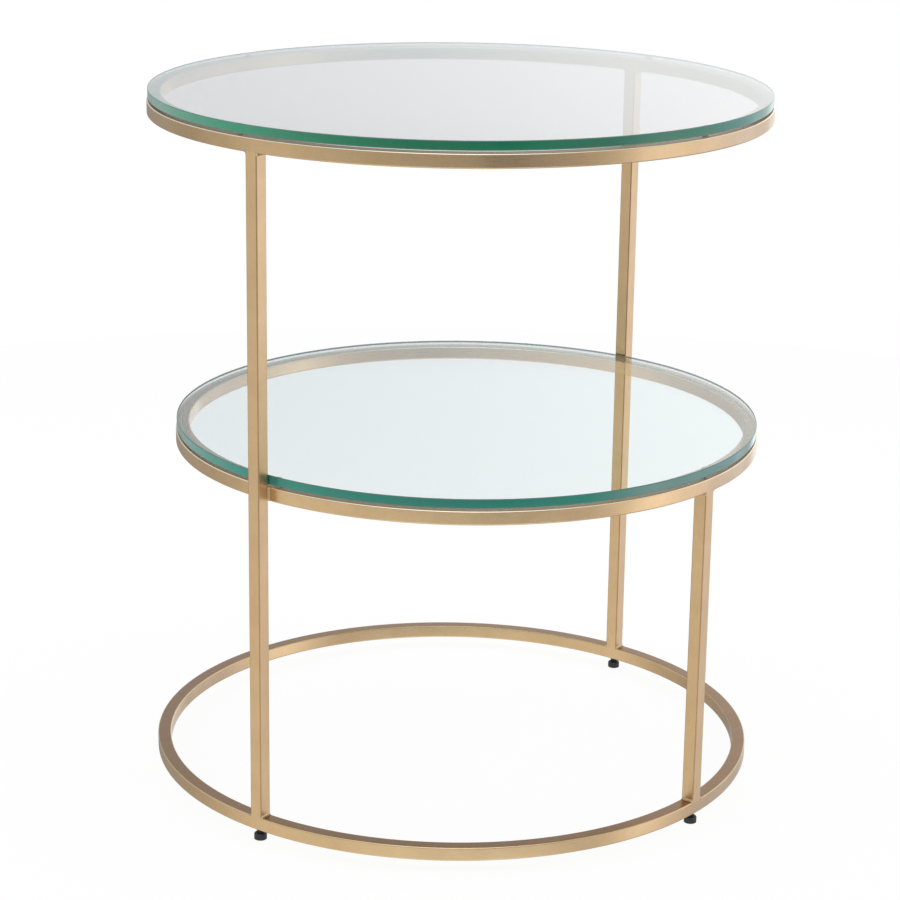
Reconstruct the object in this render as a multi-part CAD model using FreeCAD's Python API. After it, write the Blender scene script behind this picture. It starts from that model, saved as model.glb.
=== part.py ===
import FreeCAD, Part
import math
import os

# Lengths in millimetres. The floor is z = 0 and +Z is up.
# The short leg stands on -Y, the long legs on -X and +X.

# Hoops and legs
overall_height = 614.0
ring_radius = 270.0
short_leg_length = 280.0
tube = 12.0
wall = 1.5

# Glass
glass_thick = 8.0
glass_inset = 0.8

# Clear bumpers under the glass
bumper_radius = 3.5
bumper_height = 2.0
bumper_flat = 2.2
bumpers_each = 4
top_bumper_turn = -4.0

# Levelling feet
foot_drop = 10.0
stem_radius = 3.0
stem_clearance = 0.05
stem_rest = 2.0
stem_top = 17.9
cap_radius = 5.5
cap_height = 5.8
cap_top_radius = 4.6
cap_side = 4.9

# Threaded inserts in the base hoop
insert_radius = 4.0
insert_clearance = 0.05
insert_length = 7.4
flange_radius = 4.6
flange_thick = 0.5

# Weld beads
bead = 2.4
bead_toe = 0.2
bead_throat = 0.36
bead_margin = 0.4
bead_root = 1.2

# Levels and radii that follow from the sizes above
tube_mid = ring_radius - tube / 2
leg_inside = ring_radius - tube
base_under = foot_drop
base_top = base_under + tube
top_top = overall_height - glass_thick - bumper_height
top_under = top_top - tube
lower_under = base_top + short_leg_length
lower_top = lower_under + tube

# The lower hoop touches both long legs inside and lies flush with the base hoop at the short leg
lower_radius = (leg_inside ** 2 + tube_mid ** 2) / (2 * tube_mid)
lower_shift = ring_radius - lower_radius

os.makedirs("parts", exist_ok=True)
V = FreeCAD.Vector
foot_angles = {"right": 0, "left": 180, "front": 270}


def save(name, shape):
    shape.exportStep("parts/" + name + ".step")


def turned(shape, degrees):
    # A copy turned about the table's axis
    copy = shape.copy()
    copy.rotate(V(0, 0, 0), V(0, 0, 1), degrees)
    return copy


def moved(shape, x, y, z):
    copy = shape.copy()
    copy.translate(V(x, y, z))
    return copy


def revolved(points):
    # An outline of (radius, height) pairs turned into a solid about Z
    corners = [V(r, 0, z) for r, z in points]
    return Part.Face(Part.makePolygon(corners + corners[:1])).revolve(V(0, 0, 0), V(0, 0, 1), 360)


def square_ring(outside, under, size):
    inside = outside - size
    return revolved([(inside, under), (outside, under), (outside, under + size), (inside, under + size)])


def hoop(outside, under):
    # Square tube bent into a circle
    bore = square_ring(outside - wall, under + wall, tube - 2 * wall)
    return square_ring(outside, under, tube).cut(bore)


def leg(low, high):
    # Square tube standing on +X, its outer face in line with the hoops
    length = high - low
    bore = tube - 2 * wall
    outer = Part.makeBox(tube, tube, length, V(leg_inside, -tube / 2, low))
    return outer.cut(Part.makeBox(bore, bore, length, V(leg_inside + wall, -bore / 2, low)))


def bead_prism(at, u, v, root, along):
    # A concave fillet weld in the corner at, between faces that run along u and v; root deepens it against v
    outline = [
        at - v * root,
        at + u * bead - v * root,
        at + u * bead + v * bead_toe,
        at + (u + v) * (bead * bead_throat),
        at + u * bead_toe + v * bead,
        at + v * bead,
    ]
    return Part.Face(Part.makePolygon(outline + outline[:1])).extrude(along)


def tee_beads(level, up, angle):
    # The two beads beside a leg that meets a hoop's face at this level, ground flush outside and inside
    beads = []
    for side in (-1, 1):
        at = V(leg_inside + bead_margin, side * tube / 2, level)
        body = bead_prism(at, V(0, side, 0), V(0, 0, up), 0, V(tube - 2 * bead_margin, 0, 0))
        beads.append(turned(body, angle))
    return beads


# Hoops
base_ring = hoop(ring_radius, base_under)
hole = Part.makeCylinder(insert_radius + insert_clearance, 2 * wall, V(tube_mid, 0, base_under - wall))
for angle in foot_angles.values():
    base_ring = base_ring.cut(turned(hole, angle))
save("base_ring", base_ring)
save("top_ring", hoop(ring_radius, top_under))
save("lower_ring", moved(hoop(lower_radius, lower_under), 0, -lower_shift, 0))

# Legs
save("long_leg_right", leg(base_top, top_under))
save("long_leg_left", turned(leg(base_top, top_under), 180))
save("short_leg", turned(leg(base_top, lower_under), 270))

# Weld beads: beside every leg end, and upright ones where the lower hoop meets the long legs
base_beads = []
for angle in foot_angles.values():
    base_beads += tee_beads(base_top, 1, angle)
save("base_ring_welds", Part.makeCompound(base_beads))
save("top_ring_welds", Part.makeCompound(tee_beads(top_under, -1, 0) + tee_beads(top_under, -1, 180)))

lower_beads = tee_beads(lower_under, -1, 270)
lower_solid = moved(square_ring(lower_radius, lower_under, tube), 0, -lower_shift, 0)
bead_length = tube - 2 * bead_margin
for way in (-1, 1):
    for side in (-1, 1):
        at = V(way * leg_inside, side * tube / 2, lower_under + bead_margin)
        body = bead_prism(at, V(0, side, 0), V(way, 0, 0), bead_root, V(0, 0, bead_length))
        lower_beads.append(body.cut(lower_solid))
save("lower_ring_welds", Part.makeCompound(lower_beads))

# Levelling feet: a threaded insert in the hoop, a stem and a moulded cap
flange_low = base_under - flange_thick
insert = Part.makeCylinder(flange_radius, flange_thick, V(tube_mid, 0, flange_low))
insert = insert.fuse(Part.makeCylinder(insert_radius, insert_length, V(tube_mid, 0, base_under)))
insert = insert.cut(Part.makeCylinder(stem_radius + stem_clearance, tube, V(tube_mid, 0, flange_low)))
insert = insert.removeSplitter()
stem = Part.makeCylinder(stem_radius, stem_top - stem_rest, V(tube_mid, 0, stem_rest))
cap_outline = [
    (0, 0),
    (cap_radius, 0),
    (cap_radius, cap_side),
    (cap_top_radius, cap_height),
    (0, cap_height),
]
cap = moved(revolved(cap_outline), tube_mid, 0, 0).cut(stem)
for side_name, angle in foot_angles.items():
    save("foot_insert_" + side_name, turned(insert, angle))
    save("foot_stem_" + side_name, turned(stem, angle))
    save("foot_cap_" + side_name, turned(cap, angle))

# Glass discs, each lying on bumpers stuck to its hoop
bumper = Part.makeCone(bumper_radius, bumper_flat, bumper_height)


def tier(name, outside, shift, level, turn):
    glass = Part.makeCylinder(outside - glass_inset, glass_thick, V(0, -shift, level + bumper_height))
    save(name + "_glass", glass)
    pads = []
    for count in range(bumpers_each):
        pad = turned(moved(bumper, outside - tube / 2, 0, level), turn + count * 360 / bumpers_each)
        pads.append(moved(pad, 0, -shift, 0))
    save(name + "_bumpers", Part.makeCompound(pads))


tier("top", ring_radius, 0, top_top, top_bumper_turn)
tier("lower", lower_radius, lower_shift, lower_top, 0)
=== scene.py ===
import math
import bpy
import bmesh
from mathutils import Matrix, Vector


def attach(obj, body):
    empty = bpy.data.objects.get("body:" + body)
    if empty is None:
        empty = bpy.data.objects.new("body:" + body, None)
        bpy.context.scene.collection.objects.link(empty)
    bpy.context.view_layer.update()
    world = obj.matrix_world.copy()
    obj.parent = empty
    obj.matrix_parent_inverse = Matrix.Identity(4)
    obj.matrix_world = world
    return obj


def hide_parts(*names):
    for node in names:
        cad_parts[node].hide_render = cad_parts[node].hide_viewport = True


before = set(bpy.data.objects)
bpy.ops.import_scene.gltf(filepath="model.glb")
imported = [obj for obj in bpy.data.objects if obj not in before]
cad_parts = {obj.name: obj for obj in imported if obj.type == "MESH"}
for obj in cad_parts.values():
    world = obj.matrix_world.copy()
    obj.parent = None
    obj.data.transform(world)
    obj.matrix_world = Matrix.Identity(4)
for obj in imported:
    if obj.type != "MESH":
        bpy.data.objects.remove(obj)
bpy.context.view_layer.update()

MM = 0.001

# ---------- sizes of the table, in metres ----------
# The floor is z = 0. The short leg stands on -Y, the long legs on -X and +X.
OVERALL = 614 * MM
RING = 270 * MM
TUBE = 12 * MM
SHORT_LEG = 280 * MM
FOOT_DROP = 10 * MM
FEET = {"right": 0, "left": 180, "front": 270}

# Glass discs, and the clear bumpers that they lie on
PANE = 8 * MM
INSET = 0.8 * MM
PAD = 2 * MM
PAD_RADIUS = 3.5 * MM
PADS_EACH = 4
TOP_PADS_TURN = -4

# Glide caps and the thread of their stems
CAP_RADIUS = 5.5 * MM
CAP_TOP_RADIUS = 4.6 * MM
CAP_SIDE = 4.9 * MM
CAP_HEIGHT = 5.8 * MM
THREAD_PITCH = 1.0 * MM

# Rounded edges, bevels and weld fillets
EDGE = 1.2 * MM
EDGE_STEPS = 5
PANE_BEVEL = 0.75 * MM
PAD_ROUND = 1.3 * MM
CAP_ROUND = 0.3 * MM
BEAD = 2.4 * MM
BEAD_ROOT = EDGE
BEAD_SHORTENED = 0.1 * MM

# How finely round shapes are divided
HOOP_SIDES = 256
PAD_SIDES = 40
BEAD_SIDES = 96
CAP_SIDES = 64
FLOOR_SIDES = 96

# What counts as a sharp edge, and as the same place
SHARP = math.radians(60)
CLOSE = 0.02 * MM

# Levels and radii that follow from the sizes above
TUBE_MID = RING - TUBE / 2
BASE_UNDER = FOOT_DROP
BASE_TOP = BASE_UNDER + TUBE
TOP_TOP = OVERALL - PANE - PAD
TOP_UNDER = TOP_TOP - TUBE
LOW_UNDER = BASE_TOP + SHORT_LEG
LOW_TOP = LOW_UNDER + TUBE

# The lower hoop touches both long legs inside and lies flush with the base ring at the short leg
LOW_RING = ((RING - TUBE) ** 2 + TUBE_MID ** 2) / (2 * TUBE_MID)
LOW_SHIFT = RING - LOW_RING


# ---------- modelling helpers ----------
def clear_selection():
    if bpy.context.mode != "OBJECT":
        bpy.ops.object.mode_set(mode="OBJECT")
    bpy.ops.object.select_all(action="DESELECT")


def active(obj):
    clear_selection()
    obj.select_set(True)
    bpy.context.view_layer.objects.active = obj


def edit(obj):
    active(obj)
    bpy.ops.object.mode_set(mode="EDIT")
    bpy.ops.mesh.select_mode(type="EDGE")


def leave():
    # Back from edit mode, with the object's place worked into its mesh
    bpy.ops.object.mode_set(mode="OBJECT")
    bpy.ops.object.transform_apply(location=True, rotation=True, scale=True)


def pick_edges(obj, test):
    # Selects the edges whose two ends pass the test, in edit mode
    mesh = bmesh.from_edit_mesh(obj.data)
    for vertex in mesh.verts:
        vertex.select = False
    for face in mesh.faces:
        face.select = False
    for edge in mesh.edges:
        edge.select = bool(test(edge.verts[0].co, edge.verts[1].co))
    mesh.select_flush_mode()
    bmesh.update_edit_mesh(obj.data)


def pick_sharp_edges():
    bpy.ops.mesh.select_all(action="DESELECT")
    bpy.ops.mesh.edges_select_sharp(sharpness=SHARP)


def round_edges(size, steps):
    bpy.ops.mesh.bevel(offset=size, segments=steps, affect="EDGES")


def smooth(obj, angle=40):
    active(obj)
    bpy.ops.object.shade_smooth_by_angle(angle=math.radians(angle))
    weighted = obj.modifiers.new("weighted", "WEIGHTED_NORMAL")
    weighted.keep_sharp = True
    weighted.weight = 60


def cylinder(sides, radius, height, foot):
    # An upright cylinder that stands on the point foot
    middle = (foot[0], foot[1], foot[2] + height / 2)
    bpy.ops.mesh.primitive_cylinder_add(vertices=sides, radius=radius, depth=height, location=middle)


def turn(obj, degrees):
    # Turns the mesh itself about the table's axis
    obj.data.transform(Matrix.Rotation(math.radians(degrees), 4, "Z"))


def named(name):
    obj = bpy.context.object
    obj.name = name
    obj.data.name = name
    return obj


def joined(parts, name):
    active(parts[0])
    for part in parts:
        part.select_set(True)
    bpy.ops.object.join()
    return named(name)


def give(obj, *materials):
    obj.data.materials.clear()
    for material in materials:
        obj.data.materials.append(material)


# ---------- node helpers ----------
def new_material(name):
    material = bpy.data.materials.new(name)
    material.use_nodes = True
    tree = material.node_tree
    return material, tree, tree.nodes["Principled BSDF"]


def node(tree, kind, **values):
    made = tree.nodes.new(kind)
    for key, value in values.items():
        setattr(made, key, value)
    return made


def put(made, **values):
    # Plain values for a node's inputs, with _ for the spaces in their names
    for key, value in values.items():
        made.inputs[key.replace("_", " ")].default_value = value
    return made


def feed(tree, value, socket):
    # Another node's output is linked to the socket, and anything else is set as its value
    if isinstance(value, bpy.types.NodeSocket):
        tree.links.new(value, socket)
    else:
        socket.default_value = value


def math_node(tree, operation, a, b=None):
    made = node(tree, "ShaderNodeMath", operation=operation)
    feed(tree, a, made.inputs[0])
    if b is not None:
        feed(tree, b, made.inputs[1])
    return made.outputs[0]


def vector_node(tree, operation, a, b):
    made = node(tree, "ShaderNodeVectorMath", operation=operation)
    feed(tree, a, made.inputs[0])
    feed(tree, b, made.inputs["Scale" if operation == "SCALE" else 1])
    return made.outputs["Value" if operation == "DOT_PRODUCT" else "Vector"]


def split(tree, vector):
    made = tree.nodes.new("ShaderNodeSeparateXYZ")
    tree.links.new(vector, made.inputs[0])
    return made.outputs


def combined(tree, *parts):
    made = tree.nodes.new("ShaderNodeCombineXYZ")
    for part, socket in zip(parts, made.inputs):
        feed(tree, part, socket)
    return made.outputs[0]


def span(tree, value, low, high, to_low, to_high):
    # Carries the stretch from low to high over to the one from to_low to to_high, and goes no further
    made = node(tree, "ShaderNodeMapRange", clamp=True)
    feed(tree, value, made.inputs["Value"])
    put(made, From_Min=low, From_Max=high, To_Min=to_low, To_Max=to_high)
    return made.outputs["Result"]


def spread(tree, noise_value, to_low, to_high):
    # Noise lies mostly between 0.3 and 0.7
    return span(tree, noise_value, 0.3, 0.7, to_low, to_high)


def tint(tree, factor, a, b):
    # Colour a where the factor is 0 and b where it is 1
    made = node(tree, "ShaderNodeMix", data_type="RGBA")
    feed(tree, factor, made.inputs["Factor"])
    feed(tree, a, made.inputs[6])
    feed(tree, b, made.inputs[7])
    return made.outputs[2]


def on_object(tree):
    return tree.nodes.new("ShaderNodeTexCoord").outputs["Object"]


def noise(tree, where, scale, detail, roughness=0.5):
    made = put(node(tree, "ShaderNodeTexNoise"), Scale=scale, Detail=detail, Roughness=roughness)
    tree.links.new(where, made.inputs["Vector"])
    return made.outputs["Fac"]


def relief(tree, shader, height, strength, distance):
    bump = put(node(tree, "ShaderNodeBump"), Strength=strength, Distance=distance)
    tree.links.new(height, bump.inputs["Height"])
    tree.links.new(bump.outputs[0], shader.inputs["Normal"])


def group(name, inputs, outputs):
    tree = bpy.data.node_groups.new(name, "ShaderNodeTree")
    for label, kind, default in inputs:
        socket = tree.interface.new_socket(label, in_out="INPUT", socket_type=kind)
        if default is not None:
            socket.default_value = default
    for label, kind in outputs:
        tree.interface.new_socket(label, in_out="OUTPUT", socket_type=kind)
    return tree, tree.nodes.new("NodeGroupInput"), tree.nodes.new("NodeGroupOutput")


def use(tree, shared):
    made = tree.nodes.new("ShaderNodeGroup")
    made.node_tree = shared
    return made


# ---------- shared effects ----------
# Noise scales are per metre. Scratches are drawn out along the brushing by 1 / stretch.
SCRATCH_SCALE = 2600.0
BLOTCH_SCALE = 38.0
DUST_SCALE = 900.0
LONG_STRETCH = 0.02
SHORT_STRETCH = 0.6

# How far up a normal points, and how high the dust noise is, where dust starts and where it is full
DUSTY_TILT = (0.6, 1.0)
DUSTY_NOISE = (0.52, 0.72)


def make_brushed():
    # Fine parallel scratches that run along the first coordinate, and slow blotches
    tree, given, out = group(
        "brushed_grain",
        [("Vector", "NodeSocketVector", None), ("Stretch", "NodeSocketFloat", LONG_STRETCH)],
        [("Grain", "NodeSocketFloat"), ("Blotch", "NodeSocketFloat")],
    )
    along, across_grain, through = split(tree, given.outputs["Vector"])
    along = math_node(tree, "MULTIPLY", along, given.outputs["Stretch"])
    drawn_out = combined(tree, along, across_grain, through)
    scratches = noise(tree, drawn_out, SCRATCH_SCALE, 4.0, 0.62)
    blotches = noise(tree, given.outputs["Vector"], BLOTCH_SCALE, 6.0, 0.72)
    tree.links.new(scratches, out.inputs["Grain"])
    tree.links.new(blotches, out.inputs["Blotch"])
    return tree


def make_dust():
    # A thin film of dust specks on faces that look up
    tree, given, out = group(
        "settled_dust",
        [("Amount", "NodeSocketFloat", 0.1)],
        [("Mask", "NodeSocketFloat")],
    )
    geometry = tree.nodes.new("ShaderNodeNewGeometry")
    facing_up = span(tree, split(tree, geometry.outputs["Normal"])[2], *DUSTY_TILT, 0.0, 1.0)
    specks = span(tree, noise(tree, on_object(tree), DUST_SCALE, 5.0, 0.7), *DUSTY_NOISE, 0.0, 1.0)
    both = math_node(tree, "MULTIPLY", facing_up, specks)
    tree.links.new(math_node(tree, "MULTIPLY", both, given.outputs["Amount"]), out.inputs["Mask"])
    return tree


BRUSHED = make_brushed()
DUST = make_dust()

# ---------- brass ----------
WHITE = (1, 1, 1, 1)
BRASS_LOW = (0.636, 0.434, 0.241, 1)
BRASS_HIGH = (0.77, 0.546, 0.321, 1)
# The painted highlight on the rounded upper edges
PAINTED_EDGE_HIGHLIGHT = (0.95, 0.83, 0.64, 1)

BRASS_ROUGHNESS = (0.24, 0.32)
SCRATCH_SHARE = 0.45

# Painted shade on the faces that look up, and on the legs' rounded upright edges
PLAIN_TOP_SHADE = (0.58, 0.51, 0.52, 1)
HOOP_TOP_SHADE = (0.82, 0.80, 0.84, 1)
BASE_TOP_SHADE = (0.52, 0.42, 0.38, 1)
LEG_CORNER_SHADE = (0.70, 0.63, 0.54, 1)

# How far up a normal points, from 0 for level to 1, where a rounded upper edge starts and ends and where
# the flat top starts. The corner of a leg is told by the product of a normal's two level parts.
ROUND_STARTS = (0.3, 0.55)
ROUND_ENDS = (0.8, 0.93)
TOP_STARTS = (0.85, 0.97)
CORNER_STARTS = (0.12, 0.34)


def scaled(colour, painted_light_gain):
    return tuple(part * painted_light_gain for part in colour[:3]) + (1,)


def brushed_along(tree, kind, shift):
    # Coordinates that start with the way the brushing runs: for "ring" round its centre, which is shifted
    # towards -Y, and for "bar" up the tube. "plain" has hardly any direction.
    x, y, z = split(tree, on_object(tree))
    if kind == "ring":
        y = math_node(tree, "ADD", y, shift)
        arc = math_node(tree, "MULTIPLY", math_node(tree, "ARCTAN2", y, x), RING)
        squares = [math_node(tree, "MULTIPLY", part, part) for part in (x, y)]
        far = math_node(tree, "SQRT", math_node(tree, "ADD", *squares))
        return combined(tree, arc, far, z)
    if kind == "bar":
        return combined(tree, z, x, y)
    return combined(tree, x, y, z)


def brass(name, kind, shift=0.0, satin=0.0, painted_light_gain=1.0, edge_highlight=1.0, upward=PLAIN_TOP_SHADE):
    # satin adds roughness, the gain scales the colour as painted light and shade, the next value sets the
    # painted highlight on the rounded upper edges, and upward gives the painted shade on the faces that
    # look up
    material, tree, shader = new_material(name)
    grain = use(tree, BRUSHED)
    if kind == "plain":
        grain.inputs["Stretch"].default_value = SHORT_STRETCH
    tree.links.new(brushed_along(tree, kind, shift), grain.inputs["Vector"])
    scratches = math_node(tree, "MULTIPLY", grain.outputs["Grain"], SCRATCH_SHARE)
    blotches = math_node(tree, "MULTIPLY", grain.outputs["Blotch"], 1 - SCRATCH_SHARE)
    mottle = spread(tree, math_node(tree, "ADD", scratches, blotches), 0.0, 1.0)
    colour = tint(tree, mottle, scaled(BRASS_LOW, painted_light_gain), scaled(BRASS_HIGH, painted_light_gain))

    # painted highlight: the rounded upper edges are painted bright
    geometry = tree.nodes.new("ShaderNodeNewGeometry")
    facing_x, facing_y, facing_z = split(tree, geometry.outputs["Normal"])
    above_side = span(tree, facing_z, *ROUND_STARTS, 0.0, edge_highlight)
    below_top = span(tree, facing_z, *ROUND_ENDS, 1.0, 0.0)
    colour = tint(tree, math_node(tree, "MULTIPLY", above_side, below_top), colour, PAINTED_EDGE_HIGHLIGHT)

    # painted shade: faces that look up are painted darker
    top = span(tree, facing_z, *TOP_STARTS, 0.0, 1.0)
    colour = vector_node(tree, "MULTIPLY", colour, tint(tree, top, WHITE, upward))
    if kind == "bar":
        # painted shade: the rounded upright edges are painted darker than the faces between them
        both_ways = math_node(tree, "ABSOLUTE", math_node(tree, "MULTIPLY", facing_x, facing_y))
        corner = span(tree, both_ways, *CORNER_STARTS, 0.0, 1.0)
        colour = vector_node(tree, "MULTIPLY", colour, tint(tree, corner, WHITE, LEG_CORNER_SHADE))
    tree.links.new(colour, shader.inputs["Base Color"])
    smoothest, roughest = BRASS_ROUGHNESS
    roughness = spread(tree, grain.outputs["Grain"], smoothest + satin, roughest + satin)
    tree.links.new(roughness, shader.inputs["Roughness"])
    relief(tree, shader, grain.outputs["Grain"], strength=0.04, distance=0.03 * MM)
    put(shader, Metallic=1.0)
    return material


# ---------- glass, bumpers, plastic and steel ----------
GLASS_IOR = 1.52
GLASS_CLEAR = (0.945, 0.995, 0.98, 1)
GLASS_GLANCING_SHADE = (0.50, 0.34, 0.34, 1)
GLANCING_STARTS = (0.74, 0.82)
DUST_ROUGHNESS = 0.35

# Where the rim's three colours lie between facing the eye and turned away, and how far clouds move them
RIM_PLACES = (0.03, 0.29, 0.66)
RIM_CLOUD = 0.08

# Where the rim's painted reflection starts, as its reach towards the bearing, and how strong it gets
PAINTED_REFLECTION_STARTS = (0.87 * RING, 0.96 * RING)
PAINTED_REFLECTION_SHARE = 0.8


def clear_glass(name):
    material, tree, shader = new_material(name)
    dust = use(tree, DUST)
    roughness = span(tree, dust.outputs["Mask"], 0.0, 1.0, 0.0, DUST_ROUGHNESS)
    tree.links.new(roughness, shader.inputs["Roughness"])
    layer = put(node(tree, "ShaderNodeLayerWeight"), Blend=0.5)
    # painted shade: the glass is darkened towards mauve where it is seen at a glancing angle
    glancing = span(tree, layer.outputs["Facing"], *GLANCING_STARTS, 0.0, 1.0)
    tree.links.new(tint(tree, glancing, GLASS_CLEAR, GLASS_GLANCING_SHADE), shader.inputs["Base Color"])
    put(shader, IOR=GLASS_IOR, Transmission_Weight=1.0)
    return material


def edge_glass(name, colours, bearing, painted_reflection):
    # The polished rim, which shows the green of the glass seen edge on. Its colours run from where it
    # faces the eye to where it turns away, and one stretch, at the bearing, has a greyer painted
    # reflection of the surroundings.
    material, tree, shader = new_material(name)
    where = on_object(tree)
    layer = put(node(tree, "ShaderNodeLayerWeight"), Blend=0.35)
    cloud = math_node(tree, "MULTIPLY", noise(tree, where, 60.0, 3.0), RIM_CLOUD)
    ramp = tree.nodes.new("ShaderNodeValToRGB")
    ramp.color_ramp.elements.new(0.5)
    for element, place, colour in zip(ramp.color_ramp.elements, RIM_PLACES, colours):
        element.position = place
        element.color = colour
    tree.links.new(math_node(tree, "ADD", layer.outputs["Facing"], cloud), ramp.inputs["Fac"])
    angle = math.radians(bearing)
    reach = vector_node(tree, "DOT_PRODUCT", where, (math.cos(angle), math.sin(angle), 0))
    # painted reflection of the surroundings on one stretch of the rim
    stretch = span(tree, reach, *PAINTED_REFLECTION_STARTS, 0.0, PAINTED_REFLECTION_SHARE)
    tree.links.new(tint(tree, stretch, ramp.outputs["Color"], painted_reflection), shader.inputs["Base Color"])
    put(shader, Roughness=0.12, IOR=GLASS_IOR)
    return material


def arris_glass(name, dark, light):
    # The narrow polished bevels at the top and bottom of the rim
    material, tree, shader = new_material(name)
    cloud = noise(tree, on_object(tree), 90.0, 2.0)
    tree.links.new(tint(tree, cloud, dark, light), shader.inputs["Base Color"])
    put(shader, Roughness=0.1, IOR=GLASS_IOR)
    return material


def clear_pad(name):
    material, tree, shader = new_material(name)
    cloud = noise(tree, on_object(tree), 700.0, 2.0)
    tree.links.new(spread(tree, cloud, 0.10, 0.22), shader.inputs["Roughness"])
    put(shader, Base_Color=(0.80, 0.76, 0.70, 1), IOR=1.45, Alpha=0.35)
    return material


def black_plastic(name):
    # Moulded plastic with a fine pebbled skin
    material, tree, shader = new_material(name)
    skin = noise(tree, on_object(tree), 2200.0, 3.0, 0.6)
    colour = tint(tree, skin, (0.011, 0.011, 0.013, 1), (0.021, 0.021, 0.024, 1))
    tree.links.new(colour, shader.inputs["Base Color"])
    tree.links.new(spread(tree, skin, 0.38, 0.52), shader.inputs["Roughness"])
    relief(tree, shader, skin, strength=0.25, distance=0.03 * MM)
    return material


def steel(name, dark, light, smoothest, pitch=None):
    # Plain, or with a screw thread of this pitch
    material, tree, shader = new_material(name)
    where = on_object(tree)
    grain = noise(tree, where, 1500.0, 4.0, 0.6)
    tree.links.new(tint(tree, grain, dark, light), shader.inputs["Base Color"])
    tree.links.new(spread(tree, grain, smoothest, smoothest + 0.12), shader.inputs["Roughness"])
    if pitch:
        turns = math_node(tree, "MULTIPLY", split(tree, where)[2], 2 * math.pi / pitch)
        relief(tree, shader, math_node(tree, "SINE", turns), strength=0.6, distance=0.2 * MM)
    put(shader, Metallic=1.0)
    return material


# The gains are painted light and shade: each part's copy of the brass is brightened or darkened to how it
# is lit
HOOP_BRASS = brass("brushed brass hoop", "ring", painted_light_gain=0.96, upward=HOOP_TOP_SHADE)
LOW_BRASS = brass("brushed brass lower hoop", "ring", shift=LOW_SHIFT, painted_light_gain=1.05, upward=HOOP_TOP_SHADE)
BASE_BRASS = brass("brushed brass base ring", "ring", edge_highlight=0.0, upward=BASE_TOP_SHADE)
LEG_BRASS = brass("brushed brass leg", "bar", satin=0.1, painted_light_gain=1.06, edge_highlight=0.2)
WELD_BRASS = brass("brushed brass weld", "plain", edge_highlight=0.0, painted_light_gain=0.85)
GLASS = clear_glass("clear glass")
RIM = edge_glass(
    "glass rim",
    colours=((0.009, 0.18, 0.087, 1), (0.045, 0.29, 0.17, 1), (0.175, 0.32, 0.265, 1)),
    bearing=259,
    painted_reflection=(0.022, 0.135, 0.09, 1),
)
LOW_RIM = edge_glass(
    "lower glass rim",
    colours=((0.016, 0.21, 0.155, 1), (0.024, 0.26, 0.20, 1), (0.155, 0.31, 0.28, 1)),
    bearing=270,
    painted_reflection=(0.12, 0.215, 0.20, 1),
)
UPPER_ARRIS = arris_glass("glass upper arris", (0.06, 0.16, 0.12, 1), (0.11, 0.22, 0.175, 1))
UNDER_ARRIS = arris_glass("glass under arris", (0.10, 0.20, 0.15, 1), (0.18, 0.28, 0.22, 1))
CLEAR = clear_pad("clear bumper")
BLACK = black_plastic("black plastic")
ZINC = steel("zinc steel", (0.42, 0.42, 0.43, 1), (0.56, 0.56, 0.57, 1), 0.3)
DARK = steel("black oxide steel", (0.035, 0.035, 0.038, 1), (0.06, 0.06, 0.062, 1), 0.36, THREAD_PITCH)


# ---------- hoops and legs ----------
def hoop(name, radius, shift, under, material):
    # A square section swept round a circle, its four long edges rounded
    centre = (0, -shift, under)
    bpy.ops.mesh.primitive_circle_add(vertices=HOOP_SIDES, radius=radius, location=centre)
    obj = named(name + "_look")
    bpy.ops.object.transform_apply(location=True)
    edit(obj)
    bpy.ops.mesh.select_all(action="SELECT")
    bpy.ops.mesh.extrude_edges_move()
    inward = (radius - TUBE) / radius
    bpy.ops.transform.resize(value=(inward, inward, 1), center_override=centre)
    bpy.ops.mesh.select_all(action="SELECT")
    bpy.ops.mesh.extrude_region_move(TRANSFORM_OT_translate={"value": (0, 0, TUBE)})
    bpy.ops.mesh.select_all(action="SELECT")
    bpy.ops.mesh.normals_make_consistent(inside=False)
    pick_sharp_edges()
    round_edges(EDGE, EDGE_STEPS)
    leave()
    smooth(obj)
    give(obj, material)
    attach(obj, "frame")
    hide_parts(name)


def post(name, angle, low, high):
    # A leg, which runs on into the rounded edges of the hoops at its ends
    size = (TUBE, TUBE, high - low + 2 * EDGE)
    bpy.ops.mesh.primitive_cube_add(size=1, location=(TUBE_MID, 0, (low + high) / 2), scale=size)
    obj = named(name + "_look")
    bpy.ops.object.transform_apply(location=True, scale=True)
    edit(obj)
    pick_edges(obj, lambda a, b: abs(a.z - b.z) > TUBE)
    round_edges(EDGE, EDGE_STEPS)
    leave()
    turn(obj, angle)
    smooth(obj)
    give(obj, LEG_BRASS)
    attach(obj, "frame")
    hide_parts(name)


hoop("base_ring", RING, 0, BASE_UNDER, BASE_BRASS)
hoop("top_ring", RING, 0, TOP_UNDER, HOOP_BRASS)
hoop("lower_ring", LOW_RING, LOW_SHIFT, LOW_UNDER, LOW_BRASS)
post("long_leg_right", 0, BASE_TOP, TOP_UNDER)
post("long_leg_left", 180, BASE_TOP, TOP_UNDER)
post("short_leg", 270, BASE_TOP, LOW_UNDER)


# ---------- glass and bumpers ----------
# How far up or down a normal points on the flat faces at least, and on the rim at most
FLAT_TILT = 0.95
RIM_TILT = 0.1


def pane_material(normal):
    # The place in a pane's materials that a face takes: flat face, rim, upper bevel or under bevel
    if abs(normal.z) > FLAT_TILT:
        return 0
    if abs(normal.z) < RIM_TILT:
        return 1
    return 2 if normal.z > 0 else 3


def pane(name, radius, shift, under, body, rim):
    cylinder(HOOP_SIDES, radius, PANE, (0, -shift, under))
    obj = named(name + "_look")
    bpy.ops.object.transform_apply(location=True)
    edit(obj)
    pick_sharp_edges()
    round_edges(PANE_BEVEL, 2)
    leave()
    smooth(obj, 50)
    give(obj, GLASS, rim, UPPER_ARRIS, UNDER_ARRIS)
    for face in obj.data.polygons:
        face.material_index = pane_material(face.normal)
    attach(obj, body)
    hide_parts(name)


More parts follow.
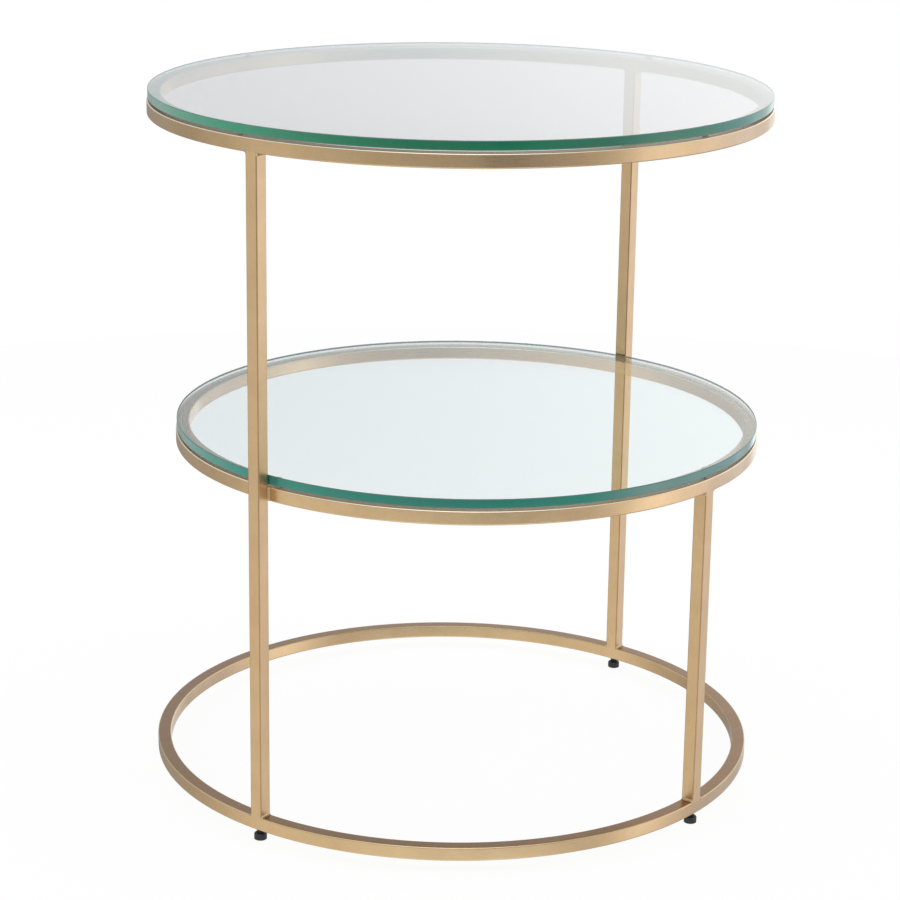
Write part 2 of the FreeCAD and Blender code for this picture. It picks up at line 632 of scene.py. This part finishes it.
def pads(name, radius, shift, under, first_angle):
    # Bumpers with rounded tops, along the middle of a hoop's tube
    parts = []
    for count in range(PADS_EACH):
        angle = math.radians(first_angle + count * 360 / PADS_EACH)
        reach = radius - TUBE / 2
        foot = (reach * math.cos(angle), reach * math.sin(angle) - shift, under)
        cylinder(PAD_SIDES, PAD_RADIUS, PAD, foot)
        part = bpy.context.object
        bpy.ops.object.transform_apply(location=True)
        edit(part)
        pick_edges(part, lambda a, b: min(a.z, b.z) > under + PAD / 2)
        round_edges(PAD_ROUND, 6)
        leave()
        parts.append(part)
    obj = joined(parts, name + "_look")
    smooth(obj, 50)
    give(obj, CLEAR)
    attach(obj, "frame")
    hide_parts(name)


pane("top_glass", RING - INSET, 0, TOP_TOP + PAD, "top_pane", RIM)
pane("lower_glass", LOW_RING - INSET, LOW_SHIFT, LOW_TOP + PAD, "lower_pane", LOW_RIM)
pads("top_bumpers", RING, 0, TOP_TOP, TOP_PADS_TURN)
pads("lower_bumpers", LOW_RING, LOW_SHIFT, LOW_TOP, 0)


# ---------- weld fillets ----------
def fillet(corner, along, u, v):
    # A concave fillet in the corner between faces that run along u and v. Its ends are rounded as the
    # tube's edges are.
    length = TUBE - BEAD_SHORTENED
    middle = (BEAD - BEAD_ROOT) / 2
    size = BEAD + BEAD_ROOT
    bpy.ops.mesh.primitive_cube_add(size=1, location=(0, middle, middle), scale=(length, size, size))
    obj = bpy.context.object
    bpy.ops.object.transform_apply(location=True, scale=True)
    bpy.ops.mesh.primitive_cylinder_add(
        vertices=BEAD_SIDES,
        radius=BEAD,
        depth=2 * TUBE,
        location=(0, BEAD, BEAD),
        rotation=(0, math.pi / 2, 0),
    )
    cutter = bpy.context.object
    bpy.ops.object.transform_apply(location=True, rotation=True)
    active(obj)
    hollow = obj.modifiers.new("hollow", "BOOLEAN")
    hollow.operation = "DIFFERENCE"
    hollow.object = cutter
    hollow.solver = "EXACT"
    bpy.ops.object.modifier_apply(modifier="hollow")
    active(cutter)
    bpy.ops.object.delete()

    def on_arc(point):
        reach = math.hypot(point.y - BEAD, point.z - BEAD)
        return abs(reach - BEAD) < CLOSE and max(point.y, point.z) < BEAD + CLOSE

    def at_end(a, b):
        return abs(a.x - b.x) < CLOSE and abs(abs(a.x) - length / 2) < CLOSE

    edit(obj)
    pick_edges(obj, lambda a, b: on_arc(a) and on_arc(b) and at_end(a, b))
    round_edges(EDGE, EDGE_STEPS)
    leave()
    if along.dot(u.cross(v)) < 0:
        u, v = v, u
    set_in = Matrix((along, u, v)).transposed().to_4x4()
    obj.data.transform(Matrix.Translation(corner) @ set_in)
    return obj


def tee(level, up, angle):
    # The two fillets beside a leg that meets a hoop's face at this level
    spin = Matrix.Rotation(math.radians(angle), 3, "Z")
    out = spin @ Vector((1, 0, 0))
    made = []
    for side in (-1, 1):
        corner = spin @ Vector((TUBE_MID, side * TUBE / 2, level))
        made.append(fillet(corner, out, spin @ Vector((0, side, 0)), Vector((0, 0, up))))
    return made


def upright(way):
    # The two upright fillets where the lower hoop touches a long leg
    made = []
    for side in (-1, 1):
        y = side * TUBE / 2
        x = math.sqrt(LOW_RING ** 2 - (y + LOW_SHIFT) ** 2)
        along_hoop = side * Vector((-way * (y + LOW_SHIFT), x, 0)).normalized()
        corner = Vector((way * x, y, LOW_UNDER + TUBE / 2))
        made.append(fillet(corner, Vector((0, 0, 1)), along_hoop, Vector((way, 0, 0))))
    return made


BEADS = {
    "base_ring_welds": tee(BASE_TOP, 1, 0) + tee(BASE_TOP, 1, 180) + tee(BASE_TOP, 1, 270),
    "top_ring_welds": tee(TOP_UNDER, -1, 0) + tee(TOP_UNDER, -1, 180),
    "lower_ring_welds": tee(LOW_UNDER, -1, 270) + upright(-1) + upright(1),
}
for name, parts in BEADS.items():
    obj = joined(parts, name + "_look")
    smooth(obj)
    give(obj, WELD_BRASS)
    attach(obj, "frame")
    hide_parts(name)


# ---------- levelling feet ----------
def cap(side, angle):
    # A moulded glide cap: a short cylinder with a sloping shoulder
    cylinder(CAP_SIDES, CAP_RADIUS, CAP_SIDE, (TUBE_MID, 0, 0))
    obj = named("foot_cap_" + side + "_look")
    bpy.ops.object.transform_apply(location=True)
    edit(obj)
    bpy.ops.mesh.select_mode(type="FACE")
    mesh = bmesh.from_edit_mesh(obj.data)
    for face in mesh.faces:
        face.select = face.normal.z > FLAT_TILT
    bmesh.update_edit_mesh(obj.data)
    bpy.ops.mesh.extrude_region_move(TRANSFORM_OT_translate={"value": (0, 0, CAP_HEIGHT - CAP_SIDE)})
    inward = CAP_TOP_RADIUS / CAP_RADIUS
    bpy.ops.transform.resize(value=(inward, inward, 1), center_override=(TUBE_MID, 0, 0))
    bpy.ops.mesh.select_mode(type="EDGE")
    pick_edges(obj, lambda a, b: abs(a.z - b.z) < CLOSE)
    round_edges(CAP_ROUND, 3)
    leave()
    turn(obj, angle)
    smooth(obj, 50)
    give(obj, BLACK)
    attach(obj, "foot_" + side)
    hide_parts("foot_cap_" + side)


for side, angle in FEET.items():
    cap(side, angle)
    give(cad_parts["foot_insert_" + side], ZINC)
    give(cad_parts["foot_stem_" + side], DARK)

# ---------- camera ----------
# The eye stands on -Y with the short leg at LEG_BEARING, then both turn until the leg is on -Y.
# Angles are in degrees. The eye's height is above the base ring's underside.
LEG_BEARING = 322.27
PITCH = 16.613
YAW = -0.124
ROLL = 0.806
EYE_AWAY = 2.30700
EYE_HEIGHT = 0.96436
FOCAL_PIXELS = 2681.19
PICTURE_PIXELS = 900
SENSOR_MM = 36


def place_camera():
    # Returns the camera's right-hand direction and the one that it looks along
    spin = Matrix.Rotation(math.radians(270 - LEG_BEARING), 3, "Z")
    pitch, yaw, roll = (math.radians(angle) for angle in (PITCH, YAW, ROLL))
    look = Vector((math.sin(yaw) * math.cos(pitch), math.cos(yaw) * math.cos(pitch), -math.sin(pitch)))
    level_right = look.cross(Vector((0, 0, 1))).normalized()
    level_up = level_right.cross(look)
    right = spin @ (math.cos(roll) * level_right + math.sin(roll) * level_up)
    up = spin @ (math.cos(roll) * level_up - math.sin(roll) * level_right)
    look = spin @ look
    eye = spin @ Vector((0, -EYE_AWAY, EYE_HEIGHT)) + Vector((0, 0, BASE_UNDER))
    data = bpy.data.cameras.new("camera")
    data.sensor_width = SENSOR_MM
    data.lens = FOCAL_PIXELS * SENSOR_MM / PICTURE_PIXELS
    data.dof.use_dof = False
    camera = bpy.data.objects.new("camera", data)
    bpy.context.scene.collection.objects.link(camera)
    facing = Matrix((right, up, -look)).transposed()
    camera.matrix_world = Matrix.Translation(eye) @ facing.to_4x4()
    bpy.context.scene.camera = camera
    return right, look


right, look = place_camera()

# ---------- studio ----------
ACROSS = Vector((right.x, right.y, 0)).normalized()
AHEAD = Vector((look.x, look.y, 0)).normalized()

# Light that dull surfaces get from all round, and the grey that polished ones see behind everything else
AMBIENT = 0.62
GREY = 0.23

# What is lost of the light mirrored inside a pane and of the light on brass seen through one, and the
# number of passes through glass that parts the two
LOST_INSIDE = 0.55
LOST_THROUGH = 0.08
DEEPER = (2.4, 2.6)

# A pale band along the horizon: how far up a direction points where it comes in and where it fades, what
# is left of it above and behind the camera, and how far forward a direction points where behind ends
BAND = (0.50, 0.61, 0.59)
BAND_COMES = (0.02, 0.11)
BAND_FADES = (0.165, 0.255)
BAND_ABOVE = 0.47
BAND_BEHIND = 0.3
BEHIND_ENDS = (-0.5, 0.1)

# Soft panels round the studio as polished surfaces see them: degrees to the right of the camera's way,
# degrees above the horizon, sharpness and colour. A colour below zero takes light away.
PANELS = (
    (22, 5, 20, (0.45, 0.40, 0.33)),
    (15, -6, 12, (0.42, 0.46, 0.52)),
    (60, -6, 24, (0.37, 0.46, 0.75)),
    (90, 5, 3, (0.57, 0.57, 0.57)),
    (80, -15, 150, (0.32, 0.31, 0.33)),
    (105, -14, 30, (0.55, 0.60, 0.68)),
    (14, 14, 60, (0.25, 0.27, 0.26)),
    (163, -3, 45, (-0.40, -0.38, -0.33)),
    (205, -27, 40, (0.18, 0.18, 0.17)),
    (103, -18, 50, (0.36, 0.36, 0.33)),
    (72, -26, 40, (-0.34, -0.35, -0.32)),
    (0, 32, 12, (0.00, 0.00, 0.09)),
    (75, -16, 24, (0.25, 0.27, 0.32)),
    (250, -20, 16, (0.26, 0.26, 0.25)),
    (150, -40, 24, (1.12, 1.20, 1.25)),
    (180, -40, 24, (0.75, 0.85, 0.90)),
    (210, -40, 12, (0.41, 0.44, 0.38)),
    (255, -40, 3, (0.40, 0.39, 0.35)),
    (180, -85, 5, (0.50, 0.50, 0.50)),
    (180, 45, 7, (1.00, 1.05, 1.15)),
    (270, 45, 3, (0.33, 0.38, 0.42)),
    (180, 76, 14, (0.60, 0.68, 0.76)),
    (6, -15, 120, (0.45, 0.50, 0.55)),
    (22, -14.5, 220, (0.70, 0.85, 1.00)),
    (45, -14.5, 220, (0.30, 0.36, 0.44)),
    (197, -5, 80, (-0.13, -0.13, -0.09)),
    (318, -9, 30, (0.14, 0.14, 0.15)),
)


def make_studio():
    # What a polished surface sees in a direction
    tree, given, out = group(
        "studio_view",
        [("Direction", "NodeSocketVector", None)],
        [("Color", "NodeSocketColor")],
    )
    direction = given.outputs["Direction"]

    upward = split(tree, direction)[2]
    forward = vector_node(tree, "DOT_PRODUCT", direction, AHEAD)
    come = span(tree, upward, *BAND_COMES, 0.0, 1.0)
    fade = span(tree, upward, *BAND_FADES, 1.0, BAND_ABOVE)
    front = span(tree, forward, *BEHIND_ENDS, BAND_BEHIND, 1.0)
    strength = math_node(tree, "MULTIPLY", math_node(tree, "MULTIPLY", come, fade), front)
    band = vector_node(tree, "SCALE", BAND, strength)
    total = vector_node(tree, "ADD", combined(tree, GREY, GREY, GREY), band)

    for bearing, height, sharpness, colour in PANELS:
        way = math.radians(bearing)
        rise = math.radians(height)
        level = math.sin(way) * ACROSS + math.cos(way) * AHEAD
        centre = math.cos(rise) * level + Vector((0, 0, math.sin(rise)))
        away = math_node(tree, "SUBTRACT", vector_node(tree, "DOT_PRODUCT", direction, centre), 1.0)
        glow = math_node(tree, "EXPONENT", math_node(tree, "MULTIPLY", away, sharpness))
        total = vector_node(tree, "ADD", total, vector_node(tree, "SCALE", colour, glow))
    tree.links.new(total, out.inputs["Color"])
    return tree


def ray_kinds(tree):
    # straight: rays that reach the camera directly or straight through glass; mirrored: those reflected
    rays = tree.nodes.new("ShaderNodeLightPath").outputs
    unmirrored = math_node(tree, "LESS_THAN", rays["Glossy Depth"], 0.5)
    through = math_node(tree, "MULTIPLY", rays["Is Transmission Ray"], unmirrored)
    straight = math_node(tree, "MAXIMUM", rays["Is Camera Ray"], through)
    shiny = math_node(tree, "MAXIMUM", rays["Is Glossy Ray"], rays["Is Transmission Ray"])
    mirrored = math_node(tree, "MULTIPLY", shiny, math_node(tree, "SUBTRACT", 1.0, straight))
    return straight, mirrored


def make_world():
    # White to straight rays, the studio to mirrored ones and even light to the rest
    world = bpy.data.worlds.new("studio")
    bpy.context.scene.world = world
    world.use_nodes = True
    tree = world.node_tree
    tree.nodes.clear()
    view = use(tree, STUDIO)
    direction = tree.nodes.new("ShaderNodeTexCoord").outputs["Generated"]
    tree.links.new(direction, view.inputs["Direction"])
    straight, mirrored = ray_kinds(tree)

    # reflections inside a pane lose half their light; brass seen through a pane, which is deeper, little
    rays = tree.nodes.new("ShaderNodeLightPath").outputs
    lost = span(tree, rays["Transmission Depth"], *DEEPER, LOST_INSIDE, LOST_THROUGH)
    lost = math_node(tree, "MULTIPLY", lost, rays["Is Transmission Ray"])
    kept = math_node(tree, "SUBTRACT", 1.0, lost)
    dimmed = vector_node(tree, "SCALE", view.outputs["Color"], kept)
    shown = tint(tree, mirrored, (AMBIENT, AMBIENT, AMBIENT, 1), dimmed)
    background = put(node(tree, "ShaderNodeBackground"), Strength=1.0)
    tree.links.new(tint(tree, straight, shown, WHITE), background.inputs["Color"])
    output = tree.nodes.new("ShaderNodeOutputWorld")
    tree.links.new(background.outputs[0], output.inputs["Surface"])


# Soft boxes light dull surfaces only: place across, ahead and up, size, and power in watts
SOFTBOXES = {
    "key": (1.9, -0.4, 1.6, (1.2, 1.4), 18),
    "fill": (-2.0, -0.2, 1.2, (1.0, 1.4), 16),
    "top": (0.0, 0.3, 2.4, (1.6, 1.6), 22),
}
AIM = Vector((0, 0, 0.3))
FLOOR_RADIUS = 1.6
FLOOR_GLOW = 0.94


def softbox(name, place, size, power):
    data = bpy.data.lights.new(name, "AREA")
    data.shape = "RECTANGLE"
    data.size, data.size_y = size
    data.energy = power
    obj = bpy.data.objects.new(name, data)
    bpy.context.scene.collection.objects.link(obj)
    obj.location = place
    obj.rotation_euler = (AIM - place).to_track_quat("-Z", "Y").to_euler()
    obj.visible_glossy = False
    obj.visible_transmission = False


def make_floor():
    # Nearly white to straight rays, with faint shadows, and the studio beyond it to mirrored rays
    bpy.ops.mesh.primitive_circle_add(vertices=FLOOR_SIDES, radius=FLOOR_RADIUS, fill_type="NGON")
    obj = named("floor")
    material, tree, shader = new_material("pale floor")
    put(shader, Base_Color=(0.86, 0.86, 0.86, 1), Roughness=0.9)
    straight, mirrored = ray_kinds(tree)
    incoming = tree.nodes.new("ShaderNodeNewGeometry").outputs["Incoming"]
    view = use(tree, STUDIO)
    tree.links.new(vector_node(tree, "SCALE", incoming, -1.0), view.inputs["Direction"])
    glow = put(node(tree, "ShaderNodeEmission"), Strength=1.0)
    tree.links.new(tint(tree, mirrored, WHITE, view.outputs["Color"]), glow.inputs["Color"])
    share = math_node(tree, "ADD", math_node(tree, "MULTIPLY", straight, FLOOR_GLOW), mirrored)
    mixer = tree.nodes.new("ShaderNodeMixShader")
    tree.links.new(math_node(tree, "MINIMUM", share, 1.0), mixer.inputs[0])
    tree.links.new(shader.outputs[0], mixer.inputs[1])
    tree.links.new(glow.outputs[0], mixer.inputs[2])
    tree.links.new(mixer.outputs[0], tree.nodes["Material Output"].inputs["Surface"])
    give(obj, material)
    return obj


STUDIO = make_studio()
make_world()
for name, (sideways, forward, height, size, power) in SOFTBOXES.items():
    softbox(name, ACROSS * sideways + AHEAD * forward + Vector((0, 0, height)), size, power)
floor = make_floor()

bpy.context.scene.view_settings.view_transform = "Standard"
